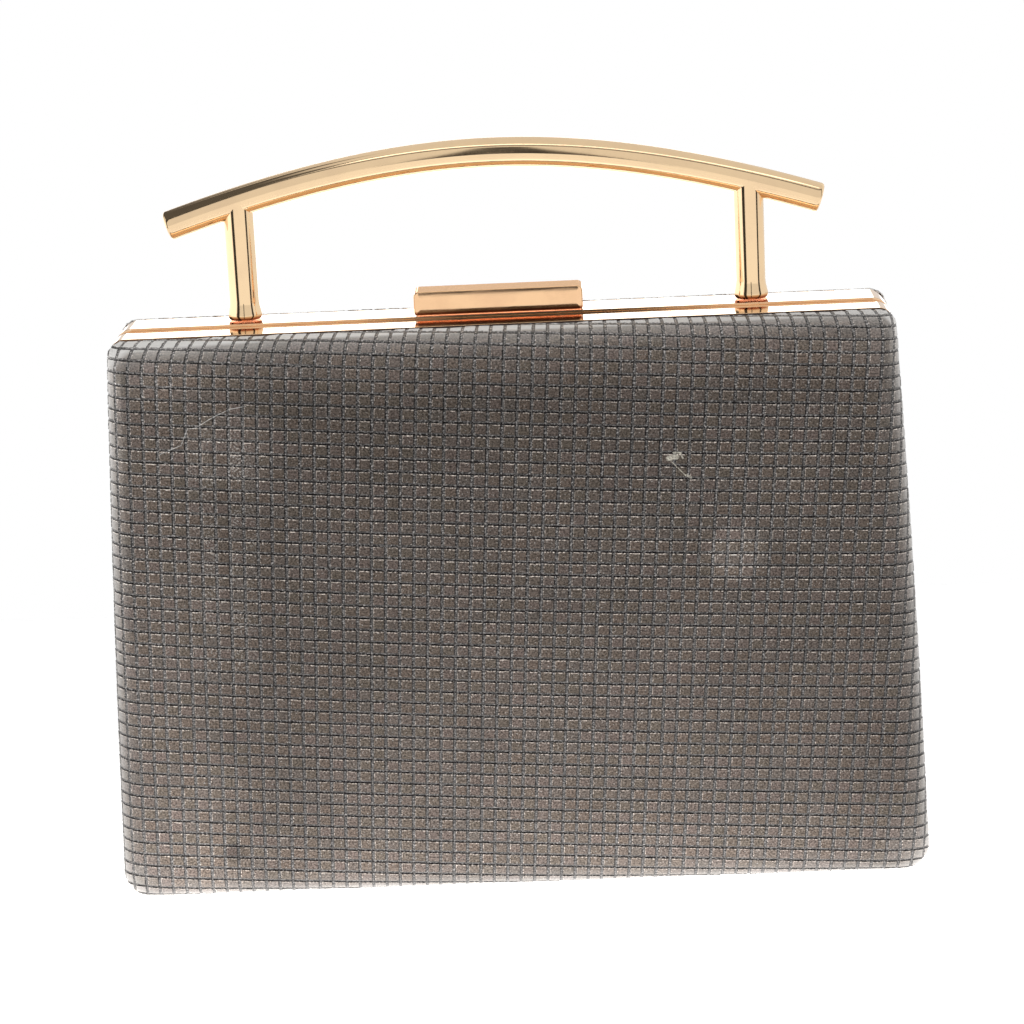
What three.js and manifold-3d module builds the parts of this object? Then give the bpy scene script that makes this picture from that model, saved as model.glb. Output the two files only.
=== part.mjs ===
// Evening clutch: two bulged hard shells in polished metal rims, hinged along the bottom,
// with a fixed bow handle and a bar clasp on top.
// Millimetres. +X is to the right seen from the front, +Y is to the back, +Z is up.
// The origin is the middle of the base, below the plane where the two halves meet.
import * as THREE from "three";
import { mergeVertices } from "three/addons/utils/BufferGeometryUtils.js";
import Module from "manifold-3d";

// Body outline, seen from the front
const BODY_HEIGHT = 144;
const TOP_WIDTH = 190.6;
const BOTTOM_WIDTH = 203.8;
const TOP_CORNER_RADIUS = 3.6;
const BOTTOM_CORNER_RADIUS = 6.5;
const CORNER_STEPS = 5;
const SIDE_STEPS = 6;

// Metal rims
const FRONT_RIM_DEPTH = 10.5;
const BACK_RIM_DEPTH = 12;
const RIM_WALL = 1.2;
const RIM_BEVEL = 0.3;
const RIM_STEP = 0.6; // how far the back rim's top stands above the front one's
const FIT_GAP = 0.3; // clearance between neighbouring pieces

// Shells: a rounded edge all round, and a shallow dome inside it
const SHELL_WALL = 2;
const EDGE_WIDTH = 7.5;
const EDGE_RISE = 6;
const FRONT_DOME = 6.1;
const BACK_DOME = FRONT_RIM_DEPTH + FRONT_DOME - BACK_RIM_DEPTH; // as deep behind as in front
const PEAK_HEIGHT = 97; // where the dome stands out furthest
const CORNER_GROWTH = 0.8; // growth of the corner radius per mm inwards from the edge
const RIM_TUCK = 3; // the shell's edge ends this far from the parting plane
const SHELL_MARGIN = { top: 0.45, side: -0.35, bottom: 0.2 }; // inwards from the rim's outline
const OUTER_STEPS = { field: 4, edge: 6 };
const INNER_STEPS = { field: 4, edge: 4 };

// Hinge along the bottom
const HINGE_DIAMETER = 2;
const HINGE_HEIGHT = 1.1;
const HINGE_LENGTH = 190;
const HINGE_SLOT_HEIGHT = 2.6;
const HINGE_SIDES = 16;

// Handle
const HANDLE_SHIFT = -0.8; // to the right of the body's middle
const POST_SPACING = 125.8;
const POST_DIAMETER = 7.3;
const POST_SETBACK = 6.8; // from the parting plane to the post's axis
const BAR_DIAMETER = 7.4;
const BAR_RISE = 38.6; // axis of the bar at its middle, above the back rim
const BOW_CHORD = 161.2;
const BOW_SLOPE = 0.507; // what the slope of the bar's arms tends to
const BOW_WAIST = 49; // larger is rounder in the middle
const BAR_STEPS = 30;
const ROUND_SIDES = 20;
const FOOT_PROFILE = [
  { height: 0, diameter: 7.7 },
  { height: 0.5, diameter: 8.3 },
  { height: 1.2, diameter: 8.5 },
  { height: 2.2, diameter: 8 },
  { height: 3.4, diameter: 7.5 },
  { height: 4.4, diameter: POST_DIAMETER },
];

// Clasp
const CLASP_SHIFT = -0.4; // to the right of the body's middle
const CLASP_WIDTH = 41.6;
const CLASP_HEIGHT = 6.25;
const CLASP_DEPTH = 6.6;
const CLASP_OVERHANG = 0.3; // in front of the parting plane
const CLASP_CORNER_RADIUS = 2.5;
const CLASP_BEVEL = 0.7;
const CLASP_BEVEL_STEPS = 3;

const HALVES = {
  front: { side: -1, depth: FRONT_RIM_DEPTH, proud: 0, dome: FRONT_DOME },
  back: { side: 1, depth: BACK_RIM_DEPTH, proud: RIM_STEP, dome: BACK_DOME },
};
const SEAT_HEIGHT = BODY_HEIGHT + RIM_STEP + FIT_GAP; // feet of what stands on the back rim

const wasm = await Module();
wasm.setup();

function toSolid(geometry) {
  const bare = geometry.clone();
  bare.deleteAttribute("normal");
  bare.deleteAttribute("uv");
  const merged = mergeVertices(bare);
  return new wasm.Manifold(
    new wasm.Mesh({
      numProp: 3,
      vertProperties: merged.attributes.position.array,
      triVerts: new Uint32Array(merged.index.array),
    }),
  );
}

function toGeometry(solid) {
  const { vertProperties, triVerts } = solid.getMesh();
  const geometry = new THREE.BufferGeometry();
  geometry.setAttribute("position", new THREE.BufferAttribute(vertProperties, 3));
  geometry.setIndex(new THREE.BufferAttribute(triVerts, 1));
  geometry.computeVertexNormals();
  return geometry;
}

// Skins rings of equal point counts. With poles the run is closed by a fan at each end,
// and without them the last ring joins the first one.
function skin(rings, poles) {
  const count = rings[0].length;
  const points = rings.flat();
  const faces = [];
  const at = (ring, j) => (ring % rings.length) * count + (j % count);
  const strips = poles ? rings.length - 1 : rings.length;
  for (let i = 0; i < strips; i += 1) {
    for (let j = 0; j < count; j += 1) {
      faces.push(at(i, j), at(i + 1, j), at(i + 1, j + 1));
      faces.push(at(i, j), at(i + 1, j + 1), at(i, j + 1));
    }
  }
  if (poles) {
    const first = points.push(poles.first) - 1;
    const last = points.push(poles.last) - 1;
    for (let j = 0; j < count; j += 1) {
      faces.push(first, at(0, j), at(0, j + 1));
      faces.push(at(strips, j), last, at(strips, j + 1));
    }
  }
  const geometry = new THREE.BufferGeometry().setFromPoints(points);
  geometry.setIndex(faces);
  geometry.computeVertexNormals();
  return geometry;
}

// The body's outline with its sides moved inwards by the margins. A negative margin moves a side outwards.
function bodyField(half, margin) {
  const lean = (BOTTOM_WIDTH - TOP_WIDTH) / 2 / BODY_HEIGHT;
  return {
    top: BODY_HEIGHT + half.proud - margin.top,
    bottom: margin.bottom,
    halfWidth: (z) => BOTTOM_WIDTH / 2 - lean * z - margin.side,
  };
}

// A closed outline, counter-clockwise seen from the front, with the body's corners rounded by arcs
// and the same number of points for every field.
function roundedOutline({ top, bottom, halfWidth }, { topRadius, bottomRadius }) {
  const corners = [
    { at: new THREE.Vector2(-halfWidth(bottom), bottom), radius: bottomRadius },
    { at: new THREE.Vector2(halfWidth(bottom), bottom), radius: bottomRadius },
    { at: new THREE.Vector2(halfWidth(top), top), radius: topRadius },
    { at: new THREE.Vector2(-halfWidth(top), top), radius: topRadius },
  ];
  const next = (list, i) => list[(i + 1) % list.length];
  const arcs = corners.map(({ at, radius }, i) => {
    const arriving = at.clone().sub(corners.at(i - 1).at).normalize();
    const leaving = next(corners, i).at.clone().sub(at);
    const turn = THREE.MathUtils.euclideanModulo(leaving.angle() - arriving.angle(), 2 * Math.PI);
    const startAngle = arriving.angle() - Math.PI / 2;
    const spoke = (angle) => new THREE.Vector2(Math.cos(angle), Math.sin(angle)).multiplyScalar(radius);
    const centre = at.clone().addScaledVector(arriving, -radius * Math.tan(turn / 2)).sub(spoke(startAngle));
    return Array.from({ length: CORNER_STEPS + 1 }, (_, k) =>
      spoke(startAngle + (turn * k) / CORNER_STEPS).add(centre),
    );
  });
  return arcs.flatMap((arc, i) => {
    const side = Array.from({ length: SIDE_STEPS - 1 }, (_, k) =>
      arc.at(-1).clone().lerp(next(arcs, i)[0], (k + 1) / SIDE_STEPS),
    );
    return [...arc, ...side];
  });
}

// Puts points at their depths from the parting plane, on the half's own side of it.
// The back half's rings run the other way round, so that its faces point outwards too.
function placed(outline, half, depthAt) {
  const ring = outline.map((p) => new THREE.Vector3(p.x, half.side * depthAt(p), p.y));
  return half.side < 0 ? ring : ring.reverse();
}

const evenMargin = (inset) => ({ top: inset, side: inset, bottom: inset });

function rimRing(half, inset, depth) {
  const rounding = half.proud - inset;
  const radii = { topRadius: TOP_CORNER_RADIUS + rounding, bottomRadius: BOTTOM_CORNER_RADIUS + rounding };
  return placed(roundedOutline(bodyField(half, evenMargin(inset)), radii), half, () => depth);
}

// Height of the shallow dome, which falls to nothing on the field's sides.
function domeAt(point, { top, bottom, halfWidth }) {
  const across = point.x / halfWidth(point.y);
  const reach = point.y > PEAK_HEIGHT ? top - PEAK_HEIGHT : PEAK_HEIGHT - bottom;
  const along = (point.y - PEAK_HEIGHT) / reach;
  return (1 - across ** 2) * (1 - along ** 2);
}

// Rings of a bulged face from its peak outwards: first across the field, then round its edge,
// which is a quarter of an ellipse.
function bulgeRings(half, { margin, base, dome, rise, steps }) {
  const field = bodyField(half, margin);
  const peak = new THREE.Vector2(0, PEAK_HEIGHT);
  const inset = (distance) => {
    const { top, side, bottom } = margin;
    return { top: top + distance, side: side + distance, bottom: bottom + distance };
  };
  const edgeLine = (distance) =>
    roundedOutline(bodyField(half, inset(distance)), {
      topRadius: TOP_CORNER_RADIUS + CORNER_GROWTH * distance,
      bottomRadius: BOTTOM_CORNER_RADIUS + CORNER_GROWTH * distance,
    });
  const ring = (outline, lift) => placed(outline, half, (p) => base + lift + dome * domeAt(p, field));
  const fieldRings = Array.from({ length: steps.field }, (_, k) => {
    const share = (k + 1) / (steps.field + 1);
    return ring(edgeLine(EDGE_WIDTH).map((p) => p.clone().lerp(peak, 1 - share)), rise);
  });
  const edgeRings = Array.from({ length: steps.edge + 1 }, (_, k) => {
    const angle = (Math.PI / 2) * (k / steps.edge);
    return ring(edgeLine(EDGE_WIDTH * (1 - Math.sin(angle))), rise * Math.cos(angle));
  });
  return [...fieldRings, ...edgeRings];
}

function shellGeometry(half) {
  const base = half.depth + FIT_GAP;
  const tuckInset = RIM_WALL + FIT_GAP;
  const innerInset = tuckInset + SHELL_WALL;
  const innerRise = EDGE_RISE - SHELL_WALL;
  const face = { base, dome: half.dome };
  const outer = bulgeRings(half, { ...face, margin: SHELL_MARGIN, rise: EDGE_RISE, steps: OUTER_STEPS });
  const edge = [
    rimRing(half, tuckInset, base),
    rimRing(half, tuckInset, RIM_TUCK),
    rimRing(half, innerInset, RIM_TUCK),
  ];
  const inner = bulgeRings(half, {
    ...face,
    margin: evenMargin(innerInset),
    rise: innerRise,
    steps: INNER_STEPS,
  }).reverse();
  const pole = (rise) => new THREE.Vector3(0, half.side * (base + rise + half.dome), PEAK_HEIGHT);
  return skin([...outer, ...edge, ...inner], { first: pole(EDGE_RISE), last: pole(innerRise) });
}

// A band with small bevels on its outer edges, cleared along the bottom for the hinge rod.
function rimGeometry(half) {
  const parting = FIT_GAP / 2;
  const section = [
    { inset: 0, depth: half.depth - RIM_BEVEL },
    { inset: 0, depth: parting + RIM_BEVEL },
    { inset: RIM_BEVEL, depth: parting },
    { inset: RIM_WALL, depth: parting },
    { inset: RIM_WALL, depth: half.depth },
    { inset: RIM_BEVEL, depth: half.depth },
  ];
  const band = skin(section.map(({ inset, depth }) => rimRing(half, inset, depth)));
  const slotWidth = HINGE_DIAMETER + 2 * FIT_GAP;
  const slot = new THREE.BoxGeometry(2 * BOTTOM_WIDTH, slotWidth, 2 * HINGE_SLOT_HEIGHT);
  return toGeometry(toSolid(band).subtract(toSolid(slot)));
}

// The bar's axis is a hyperbola: round in the middle, nearly straight towards its ends.
const bowHeight = (x) => BAR_RISE + BOW_WAIST - Math.hypot(BOW_WAIST, BOW_SLOPE * x);

class BowCurve extends THREE.Curve {
  getPoint(t, target = new THREE.Vector3()) {
    const x = (t - 0.5) * BOW_CHORD;
    return target.set(x, 0, bowHeight(x));
  }
}

// The bar's section is a polygon, and the path turns it into a tube with flat ends.
function barGeometry() {
  const section = new THREE.Shape();
  section.absarc(0, 0, BAR_DIAMETER / 2, 0, 2 * Math.PI);
  return new THREE.ExtrudeGeometry(section, {
    extrudePath: new BowCurve(),
    steps: BAR_STEPS,
    curveSegments: ROUND_SIDES / 2,
  });
}

// A post on a flared foot, from the back rim up to the bar's axis.
function postGeometry(x) {
  const top = bowHeight(x);
  const profile = [
    new THREE.Vector2(0, 0),
    ...FOOT_PROFILE.map(({ height, diameter }) => new THREE.Vector2(diameter / 2, height)),
    new THREE.Vector2(POST_DIAMETER / 2, top),
    new THREE.Vector2(0, top),
  ];
  return new THREE.LatheGeometry(profile, ROUND_SIDES).rotateX(Math.PI / 2).translate(x, 0, 0);
}

function handleGeometry() {
  const posts = [-1, 1].map((side) => postGeometry((side * POST_SPACING) / 2));
  const solid = posts.reduce((joined, post) => joined.add(toSolid(post)), toSolid(barGeometry()));
  return toGeometry(solid);
}

// The bar's front outline has rounded top corners. Its rear bottom edge lies on the local X axis.
function claspGeometry() {
  const half = CLASP_WIDTH / 2;
  const radius = CLASP_CORNER_RADIUS;
  const outline = new THREE.Shape();
  outline.moveTo(-half, 0);
  outline.lineTo(half, 0);
  outline.absarc(half - radius, CLASP_HEIGHT - radius, radius, 0, Math.PI / 2);
  outline.absarc(radius - half, CLASP_HEIGHT - radius, radius, Math.PI / 2, Math.PI);
  const geometry = new THREE.ExtrudeGeometry(outline, {
    depth: CLASP_DEPTH - 2 * CLASP_BEVEL,
    bevelThickness: CLASP_BEVEL,
    bevelSize: CLASP_BEVEL,
    bevelOffset: -CLASP_BEVEL,
    bevelSegments: CLASP_BEVEL_STEPS,
    curveSegments: CORNER_STEPS,
  });
  return geometry.rotateX(Math.PI / 2).translate(0, -CLASP_BEVEL, 0);
}

const coverMaterial = () => new THREE.MeshStandardMaterial({ color: 0x7d766f, roughness: 0.38, metalness: 0.55 });
const rimMaterial = () => new THREE.MeshStandardMaterial({ color: 0xe3b988, roughness: 0.12, metalness: 1 });
const handleMaterial = () => new THREE.MeshStandardMaterial({ color: 0xe6cda4, roughness: 0.16, metalness: 1 });
const claspMaterial = () => new THREE.MeshStandardMaterial({ color: 0xeab98b, roughness: 0.14, metalness: 1 });
const hingeMaterial = () => new THREE.MeshStandardMaterial({ color: 0xc9a878, roughness: 0.3, metalness: 1 });

function piece(name, geometry, material) {
  const mesh = new THREE.Mesh(geometry, material);
  mesh.name = name;
  return mesh;
}

function makeHalf(name) {
  const group = new THREE.Group();
  group.add(piece(`${name}_shell`, shellGeometry(HALVES[name]), coverMaterial()));
  group.add(piece(`${name}_rim`, rimGeometry(HALVES[name]), rimMaterial()));
  return group;
}

function makeHinge() {
  const rod = new THREE.CylinderGeometry(HINGE_DIAMETER / 2, HINGE_DIAMETER / 2, HINGE_LENGTH, HINGE_SIDES);
  const mesh = piece("hinge_rod", rod, hingeMaterial());
  mesh.rotation.z = Math.PI / 2;
  mesh.position.z = HINGE_HEIGHT;
  return mesh;
}

function makeHandle() {
  const mesh = piece("handle", handleGeometry(), handleMaterial());
  mesh.position.set(HANDLE_SHIFT, POST_SETBACK, SEAT_HEIGHT);
  return mesh;
}

function makeClasp() {
  const mesh = piece("clasp_bar", claspGeometry(), claspMaterial());
  mesh.position.set(CLASP_SHIFT, CLASP_DEPTH - CLASP_OVERHANG, SEAT_HEIGHT);
  return mesh;
}

const clutch = new THREE.Group();
const backHalf = makeHalf("back");
backHalf.add(makeHinge(), makeHandle(), makeClasp());
clutch.add(makeHalf("front"), backHalf);

export default clutch;
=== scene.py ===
import math
from types import SimpleNamespace

import bmesh
import bpy
import numpy as np
from mathutils import Matrix, Vector


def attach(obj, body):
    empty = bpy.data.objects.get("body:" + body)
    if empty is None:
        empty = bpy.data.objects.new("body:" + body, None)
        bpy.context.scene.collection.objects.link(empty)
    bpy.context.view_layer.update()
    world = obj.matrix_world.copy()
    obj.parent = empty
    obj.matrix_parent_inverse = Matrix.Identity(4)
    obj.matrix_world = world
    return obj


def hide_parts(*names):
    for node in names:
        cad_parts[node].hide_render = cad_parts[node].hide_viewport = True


# Looks of the evening clutch: embossed metallic covers, polished gold fittings and a light tent.
# Sizes are in millimetres in the frame's own axes: +X right, +Y back, +Z up.

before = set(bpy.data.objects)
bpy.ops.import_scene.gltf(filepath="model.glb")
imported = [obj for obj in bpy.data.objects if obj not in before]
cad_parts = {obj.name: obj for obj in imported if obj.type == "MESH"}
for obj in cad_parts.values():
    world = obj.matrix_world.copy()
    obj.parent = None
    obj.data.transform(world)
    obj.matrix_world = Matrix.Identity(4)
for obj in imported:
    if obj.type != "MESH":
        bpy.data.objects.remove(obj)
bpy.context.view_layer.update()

MM = 0.001
TINY = 1e-9  # least length to divide by

# Body outline and halves, as the solids have them
BODY_HEIGHT = 144.0
TOP_WIDTH = 190.6
BOTTOM_WIDTH = 203.8
LEAN = (BOTTOM_WIDTH - TOP_WIDTH) / 2 / BODY_HEIGHT
TOP_CORNER_RADIUS = 3.6
BOTTOM_CORNER_RADIUS = 6.5
RIM_WALL = 1.2
RIM_STEP = 0.6
FIT_GAP = 0.3
FRONT_RIM_DEPTH = 10.5
BACK_RIM_DEPTH = 12.0
FRONT_DOME = 6.1
BACK_DOME = FRONT_RIM_DEPTH + FRONT_DOME - BACK_RIM_DEPTH
HALVES = {
    "front": {"side": -1, "proud": 0.0, "depth": FRONT_RIM_DEPTH, "dome": FRONT_DOME, "top_margin": 0.45},
    "back": {"side": 1, "proud": RIM_STEP, "depth": BACK_RIM_DEPTH, "dome": BACK_DOME, "top_margin": 0.1},
}

# Rims
PARTING_ROUND = 0.12
LIP_ROUND = 0.1
HINGE_SLOT = {"width": 2.6, "height": 2.6}
RIM_CORNER_STEPS = 16

# Covers: a rounded edge and a shallow dome, sheathed in an embossed sheet
EDGE_WIDTH = 7.5
EDGE_RISE = 6.0
PEAK_HEIGHT = 97.0
CORNER_GROWTH = 0.8
SIDE_MARGIN = -0.35
BOTTOM_MARGIN = 0.2
SIDE_BOW = 0.5  # how far the cover's sides bow out at mid-height
SHEET_CLEARANCE = 0.12  # between the shell and the sheet on it
TUCK = 1.1  # how far the sheet's edge goes into the gap behind the shell's edge
TUCK_DROP = 0.15
TUCK_FADE = 0.3  # length over which the relief ends at the fold
EDGE_SAMPLES = 200

# Embossing: raised squares with steep walls between flat grooves
CELL = {"width": 3.45, "height": 3.09}
CELL_TURN = math.radians(-3.8)  # the rows of squares run a little askew to the body
DRAW_IN = 0.00027  # share by which the columns draw together per millimetre downwards
TOP_DRAW_IN = {"band": 8.0, "share": 0.00030}  # and towards the top fold, per square millimetre
RELIEF = 0.15
RELIEF_SPREAD = 0.015
TILT_SPREAD = math.radians(0.7)
SPREAD_SEED = 11
GROOVE = 0.1  # from a groove's middle to the foot of its wall, in shares of a cell
WALL = 0.03
CELL_PROFILE = [
    {"place": -GROOVE, "height": 0.0},
    {"place": GROOVE, "height": 0.0},
    {"place": GROOVE + WALL, "height": 1.0},
    {"place": 0.5, "height": 1.0},
    {"place": 1 - GROOVE - WALL, "height": 1.0},
]

# Tones of the sheet, as linear red, green and blue
SQUARE_TONES = [
    {"chance": 0.0, "tone": (0.113, 0.088, 0.073)},
    {"chance": 0.35, "tone": (0.101, 0.084, 0.069)},
    {"chance": 0.7, "tone": (0.117, 0.092, 0.081)},
    {"chance": 1.0, "tone": (0.101, 0.086, 0.075)},
]
# Painted highlight along the squares' top and left edges
EDGE_HIGHLIGHT_TONE = (0.66, 0.58, 0.52)
GROOVE_TONE = (0.100, 0.095, 0.092)
GLINT_TONE = (0.36, 0.34, 0.33)
# Painted shade in the creases above and beside each square
CREASE_SHADE_TONE = (0.014, 0.013, 0.013)
SPARK_TONE = (0.50, 0.47, 0.44)
# Painted highlight that makes the sheet pale towards its fold under the rim
FOLD_HIGHLIGHT_TONE = (0.95, 0.93, 0.90)

# Lines round a square, in shares of its cell: painted highlights along its top and left edges, and painted
# shade in the creases above and beside it. The noise of specks, between two limits, sets their strength.
LINES = {
    "painted top edge highlight": {
        "across": "share_v", "from": 0.80, "to": 0.875, "blur": 0.03,
        "specks": (0.42, 0.60), "strength": (0.05, 1.0),
    },
    "painted left edge highlight": {
        "across": "share_u", "from": 0.12, "to": 0.175, "blur": 0.02,
        "specks": (0.46, 0.60), "strength": (0.0, 0.6),
    },
    "painted shade above": {
        "across": "share_v", "from": 0.875, "to": 1.035, "blur": 0.03,
        "specks": (0.66, 0.48), "strength": (0.35, 1.0),
    },
    "painted shade beside": {
        "across": "share_u", "from": 0.89, "to": 0.97, "blur": 0.02,
        "specks": (0.64, 0.46), "strength": (0.2, 1.0),
    },
}
LINE_ENDS = (0.40, 0.36)  # where the painted edge highlights end, from the middle of the cell
SQUARE_EDGE = (0.112, 0.128)  # where the groove's tone turns into the square's, from the groove's middle
UPRIGHT_GROOVE = {"left": (0.965, 0.98), "right": (0.07, 0.05)}  # where its specks begin and end
UPRIGHT_GLINTS = 0.9  # strength of the specks in upright grooves
LEVEL_GLINTS = 0.5
SPARKS = 0.75  # strength of the specks on the squares

# Noises over the cells
WAVER = {"scale": 4.0, "detail": 2.0, "reach": 0.11}  # how the lines waver
NOISES = {
    "grain": {"shift": (0.0, 0.0, 0.0), "scale": 7.0, "detail": 2.0, "roughness": 0.65},
    "specks": {"shift": (7.3, 2.9, 0.0), "scale": 6.5, "detail": 1.0, "roughness": 0.5},
    "dust": {"shift": (3.1, 8.7, 0.0), "scale": 6.0, "detail": 2.0, "roughness": 0.6},
    "patches": {"shift": (0.0, 0.0, 0.0), "scale": 0.6, "detail": 1.0, "roughness": 0.5},
    "clouds": {"shift": (0.0, 0.0, 0.0), "scale": 0.12, "detail": 3.0, "roughness": 0.55},
}

# Changes of the looks: by x or height z in millimetres, by a noise, or by how pale the fold's painted
# highlight makes it
CHANGES = {
    # Painted light: squares brighter low down, and their painted top edge highlights weaker low down and
    # near the fold
    "square": {"by": "z", "from": 25.0, "to": 85.0, "start": 1.12, "end": 1.0},
    "painted top edge highlight": {"by": "z", "from": 25.0, "to": 85.0, "start": 0.5, "end": 1.0},
    "top edge highlight near the fold": {"by": "z", "from": 138.0, "to": 118.0, "start": 0.3, "end": 1.0},
    "glints": {"by": "z", "from": 30.0, "to": 100.0, "start": 0.5, "end": 1.0},
    # The painted crease shade beside squares is weaker low down
    "painted shade beside": {"by": "z", "from": 30.0, "to": 110.0, "start": 0.45, "end": 0.85},
    # Painted light on the left side and at the bottom, as gains
    "left side's painted light": {"by": "z", "from": 110.0, "to": 30.0, "start": 1.35, "end": 1.7},
    "bottom's painted light": {"by": "x", "from": -60.0, "to": -90.0, "start": 1.3, "end": 1.0},
    # Painted highlight of the folds: stronger on the left, low down and along the top
    "side fold": {"by": "x", "from": 50.0, "to": -80.0, "start": 0.9, "end": 1.25},
    "side fold low down": {"by": "z", "from": 30.0, "to": 6.0, "start": 1.0, "end": 1.3},
    "top fold": {"by": "x", "from": 50.0, "to": -30.0, "start": 0.8, "end": 1.0},
    "top fold's width": {"by": "x", "from": -52.0, "to": -92.0, "start": 1.0, "end": 2.2},
    "side fold to top fold": {"by": "z", "from": 136.0, "to": 140.5, "start": 0.0, "end": 1.0},
    "glints by specks": {"by": "specks", "from": 0.55, "to": 0.63, "start": 0.0, "end": 1.0},
    "sparks": {"by": "dust", "from": 0.62, "to": 0.72, "start": 0.0, "end": 1.0},
    "rubbed sparks": {"by": "dust", "from": 0.54, "to": 0.62, "start": 0.0, "end": 1.0},
    "rubbed patches": {"by": "patches", "from": 0.38, "to": 0.55, "start": 0.2, "end": 1.0},
    "broken strokes": {"by": "specks", "from": 0.38, "to": 0.52, "start": 0.4, "end": 1.0},
    "light of the grain": {"by": "grain", "from": 0.34, "to": 0.66, "start": 0.4, "end": 1.7},
    "light of the clouds": {"by": "clouds", "from": 0.3, "to": 0.7, "start": 0.92, "end": 1.08},
    "roughness": {"by": "grain", "from": 0.3, "to": 0.7, "start": 0.46, "end": 0.34},
    "polish of the fold": {"by": "fold", "from": 0.2, "to": 0.8, "start": 0.0, "end": 0.16},
    "metal": {"by": "fold", "from": 0.15, "to": 0.6, "start": 1.0, "end": 0.0},
    "bumps": {"by": "fold", "from": 0.1, "to": 0.6, "start": 0.5, "end": 0.06},
}
BUMP_HEIGHT = 0.12

# Strips of painted light, where the sheet grows paler from one place to another, by x or height z
PAINTED_LIGHT_STRIPS = [
    {"what": "left side", "by": "x", "from": -60.0, "to": -90.0},
    {"what": "bottom", "by": "z", "from": 24.0, "to": 4.0},
    {"what": "top", "by": "z", "from": 126.0, "to": 140.0},
]
TOP_LIGHT_GAIN = 1.6

# How pale painted highlight makes the sheet towards its fold under the rim, by the distance from the
# outline
FOLD_WIDTH = 8.0
FOLD = [
    {"inset": 0.0, "side": 0.60, "top": 0.97},
    {"inset": 0.7, "side": 0.42, "top": 0.95},
    {"inset": 1.1, "side": 0.30, "top": 0.38},
    {"inset": 2.1, "side": 0.17, "top": 0.20},
    {"inset": 2.9, "side": 0.10, "top": 0.14},
    {"inset": 5.0, "side": 0.03, "top": 0.03},
    {"inset": 8.0, "side": 0.0, "top": 0.0},
]
BACK_FOLD = {"from": 0.9, "to": 0.5, "strength": 0.95}  # on the back cover
FOLD_IN_GROOVE = 0.15  # how much of the paleness reaches into the grooves

# Wear on the front cover, in places (x, z): a thin scratch, cream flecks, spots and rubbed columns
SCRATCH = {"width": 0.2, "strength": 0.65, "tone": (0.9, 0.89, 0.86)}
SCRATCH_PLACES = [
    (-83.9, 116.7),
    (-78.5, 118.8),
    (-76.7, 122.8),
    (-74.6, 123.0),
    (-71.2, 125.0),
    (-66.2, 127.3),
    (-62.1, 127.9),
]
FLECK_TONE = (0.72, 0.68, 0.58)
FLECKS = [
    {"from": (39.6, 111.3), "to": (41.6, 111.6), "width": 1.5, "strength": 0.8},
    {"from": (40.9, 112.6), "to": (42.6, 112.4), "width": 0.6, "strength": 0.7},
    {"from": (42.4, 112.4), "to": (43.1, 111.2), "width": 0.5, "strength": 0.6},
    {"from": (39.4, 111.4), "to": (43.6, 106.9), "width": 0.3, "strength": 0.6},
    {"from": (43.7, 106.9), "to": (44.9, 106.4), "width": 0.7, "strength": 0.6},
]
SPOTS = [
    {"what": "pale rubbed spot", "place": (55.0, 86.8), "radius": 9.0, "light": 1.5},
    {"what": "dark smudge", "place": (-72.6, 13.2), "radius": 3.6, "light": 0.66},
    {"what": "scuffed patch", "place": (-66.0, 117.0), "radius": 14.0, "light": 1.2},
]
RUBBED = {"low": 60.0, "high": 122.0, "fade": 20.0}
RUBBED_COLUMNS = [
    {"column": -23, "strength": 0.5},
    {"column": -22, "strength": 0.8},
    {"column": -20, "strength": 1.0},
    {"column": -19, "strength": 0.5},
]
COLUMN_BLUR = 0.2

# Handle
HANDLE_SHIFT = -0.8
POST_SPACING = 125.8
POST_DIAMETER = 7.3
POST_SETBACK = 6.8
BAR_DIAMETER = 7.4
BAR_RISE = 38.6
BAR_END_ROUND = 0.7
BOW_CHORD = 161.2
BOW_SLOPE = 0.507
BOW_WAIST = 49.0
BAR_STEPS = 120
FOOT_PROFILE = [
    {"height": 0.0, "diameter": 7.7},
    {"height": 0.5, "diameter": 8.3},
    {"height": 1.2, "diameter": 8.5},
    {"height": 2.2, "diameter": 8.0},
    {"height": 3.4, "diameter": 7.5},
    {"height": 4.4, "diameter": POST_DIAMETER},
]
SEAT_HEIGHT = BODY_HEIGHT + RIM_STEP + FIT_GAP
ROUND_SIDES = 72

# Clasp
CLASP_SHIFT = -0.4
CLASP_WIDTH = 41.6
CLASP_HEIGHT = 6.25
CLASP_DEPTH = 6.6
CLASP_OVERHANG = 0.3
CLASP_CORNERS = {"top": 1.3, "bottom": 0.8, "least": 0.02, "steps": 10}
CLASP_EDGE = 0.4
CLASP_TILT = math.radians(3.5)  # fall of the top face towards the front
# Section from the outer faces round to the front face. It faces outwards at 0 degrees and forwards at 90.
CLASP_FRONT = [
    {"what": "soft edge", "length": 0.25, "from": 0, "to": 58},
    {"what": "bevel", "length": 0.08, "from": 58, "to": 58},
    {"what": "soft edge", "length": 0.15, "from": 58, "to": 87.5},
    {"what": "crowned face", "length": 2.2, "from": 87.5, "to": 90},
]
CLASP_STEPS = 8

# Painted reddish brown shade low on what stands on the back rim, where it meets the rim
SEAT_SHADE = {"height": 1.0, "tone": (0.34, 0.11, 0.05)}

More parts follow.
